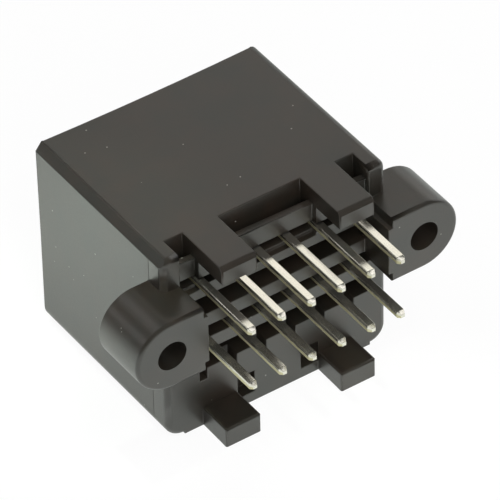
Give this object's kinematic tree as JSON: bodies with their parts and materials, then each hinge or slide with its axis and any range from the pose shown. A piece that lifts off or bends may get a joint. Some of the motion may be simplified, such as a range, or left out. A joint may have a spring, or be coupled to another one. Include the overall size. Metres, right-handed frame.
{
  "type": "automotive wiring connector",
  "caption": "Moulded board header with an open plug mouth, rows of tin-plated pins and blades, standoff feet and a screw ear on each side.",
  "frame": {"origin": "middle of the overall box at the lock-side wall's outer face, on which the part lies", "axes": "+X across the contact rows, +Y out of the plug mouth, +Z from the lock-side wall to the roof; the board pins point along -Y"},
  "size_m": [0.027, 0.0222, 0.0166],
  "materials": {
    "housing_plastic": "fine moulded satin black",
    "contact_tin": "bright tin plating"
  },
  "bodies": {
    "root": {"housing": "housing_plastic", "upper_contact_1": "contact_tin", "upper_contact_2": "contact_tin", "upper_contact_3": "contact_tin", "upper_contact_4": "contact_tin", "upper_contact_5": "contact_tin", "upper_contact_6": "contact_tin", "lower_contact_1": "contact_tin", "lower_contact_2": "contact_tin", "lower_contact_3": "contact_tin", "lower_contact_4": "contact_tin", "lower_contact_5": "contact_tin", "lower_contact_6": "contact_tin"}
  },
  "joints": []
}
